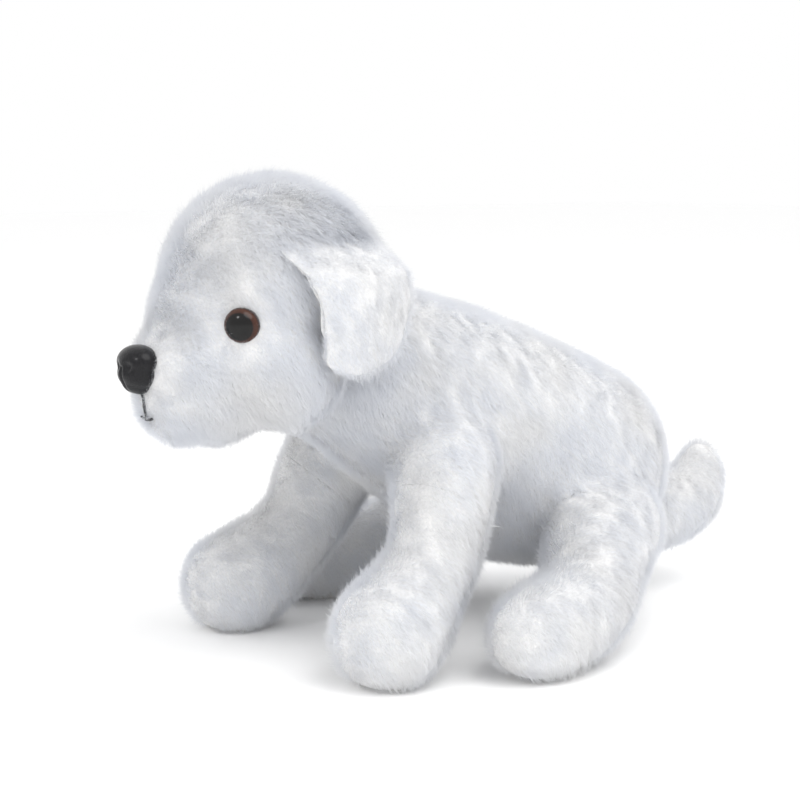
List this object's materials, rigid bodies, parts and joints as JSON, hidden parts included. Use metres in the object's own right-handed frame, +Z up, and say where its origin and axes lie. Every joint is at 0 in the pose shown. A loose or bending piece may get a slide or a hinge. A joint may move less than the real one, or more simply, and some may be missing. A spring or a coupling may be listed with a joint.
{
  "type": "plush puppy",
  "caption": "White long-pile plush puppy sitting on its haunches with soft hanging ears, brown safety eyes, a black moulded nose and limbs that swing at their seams.",
  "frame": {"origin": "on the floor under the middle of the toy, where it stands on its four paws", "axes": "+Z up; -Y the way the puppy looks, +Y towards its tail; +X its left side"},
  "size_m": [0.214, 0.341, 0.207],
  "materials": {
    "white_plush": "matte",
    "sole_plush": "matte",
    "ear_lining": "matte",
    "fibre_filling": "matte",
    "black_thread": "satin",
    "nose_plastic": "satin",
    "eye_clear": "gloss",
    "eye_brown": "gloss",
    "washer_plastic": "matte"
  },
  "bodies": {
    "trunk": {"back_left_panel": "white_plush", "back_right_panel": "white_plush", "belly_panel": "white_plush", "trunk_filling": "fibre_filling"},
    "neck": {"neck_filling": "fibre_filling"},
    "head": {"chin_panel": "white_plush", "eye_left_iris": "eye_brown", "eye_left_lens": "eye_clear", "eye_left_washer": "washer_plastic", "eye_right_iris": "eye_brown", "eye_right_lens": "eye_clear", "eye_right_washer": "washer_plastic", "head_filling": "fibre_filling", "head_gusset": "white_plush", "head_left_panel": "white_plush", "head_right_panel": "white_plush", "mouth_thread": "black_thread", "nose": "nose_plastic", "nose_washer": "washer_plastic"},
    "left_ear": {"ear_left_lining": "ear_lining", "ear_left_outer": "white_plush"},
    "right_ear": {"ear_right_lining": "ear_lining", "ear_right_outer": "white_plush"},
    "left_foreleg": {"foreleg_left_filling": "fibre_filling", "foreleg_left_inner_cover": "white_plush", "foreleg_left_outer_cover": "white_plush", "foreleg_left_sole": "sole_plush"},
    "right_foreleg": {"foreleg_right_filling": "fibre_filling", "foreleg_right_inner_cover": "white_plush", "foreleg_right_outer_cover": "white_plush", "foreleg_right_sole": "sole_plush"},
    "left_hindleg": {"hindleg_left_filling": "fibre_filling", "hindleg_left_inner_cover": "white_plush", "hindleg_left_outer_cover": "white_plush", "hindleg_left_sole": "sole_plush"},
    "right_hindleg": {"hindleg_right_filling": "fibre_filling", "hindleg_right_inner_cover": "white_plush", "hindleg_right_outer_cover": "white_plush", "hindleg_right_sole": "sole_plush"},
    "tail": {"tail_filling": "fibre_filling", "tail_left_cover": "white_plush", "tail_right_cover": "white_plush"}
  },
  "joints": [
    {"name": "head_turn", "type": "hinge", "parent": "trunk", "child": "neck", "pos_m": [0, -0.096, 0.157], "axis": [0, 0, 1], "range_deg": [-13, 13]},
    {"name": "head_nod", "type": "hinge", "parent": "neck", "child": "head", "pos_m": [0, -0.096, 0.157], "axis": [1, 0, 0], "range_deg": [-15, 10]},
    {"name": "left_ear_lift", "type": "hinge", "parent": "head", "child": "left_ear", "pos_m": [0.0425, -0.09, 0.184], "axis": [0, -1, 0], "range_deg": [0, 75]},
    {"name": "right_ear_lift", "type": "hinge", "parent": "head", "child": "right_ear", "pos_m": [-0.0425, -0.09, 0.184], "axis": [0, 1, 0], "range_deg": [0, 75]},
    {"name": "left_foreleg_swing", "type": "hinge", "parent": "trunk", "child": "left_foreleg", "pos_m": [0.042, -0.038, 0.077], "axis": [1, 0, 0], "range_deg": [-25, 10]},
    {"name": "right_foreleg_swing", "type": "hinge", "parent": "trunk", "child": "right_foreleg", "pos_m": [-0.042, -0.038, 0.077], "axis": [1, 0, 0], "range_deg": [-25, 10]},
    {"name": "left_hindleg_swing", "type": "hinge", "parent": "trunk", "child": "left_hindleg", "pos_m": [0.044, 0.052, 0.044], "axis": [1, 0, 0], "range_deg": [-8, 20]},
    {"name": "right_hindleg_swing", "type": "hinge", "parent": "trunk", "child": "right_hindleg", "pos_m": [-0.044, 0.052, 0.044], "axis": [1, 0, 0], "range_deg": [-8, 20]},
    {"name": "tail_wag", "type": "hinge", "parent": "trunk", "child": "tail", "pos_m": [0, 0.11, 0.034], "axis": [0, 0, 1], "range_deg": [-20, 20]}
  ]
}
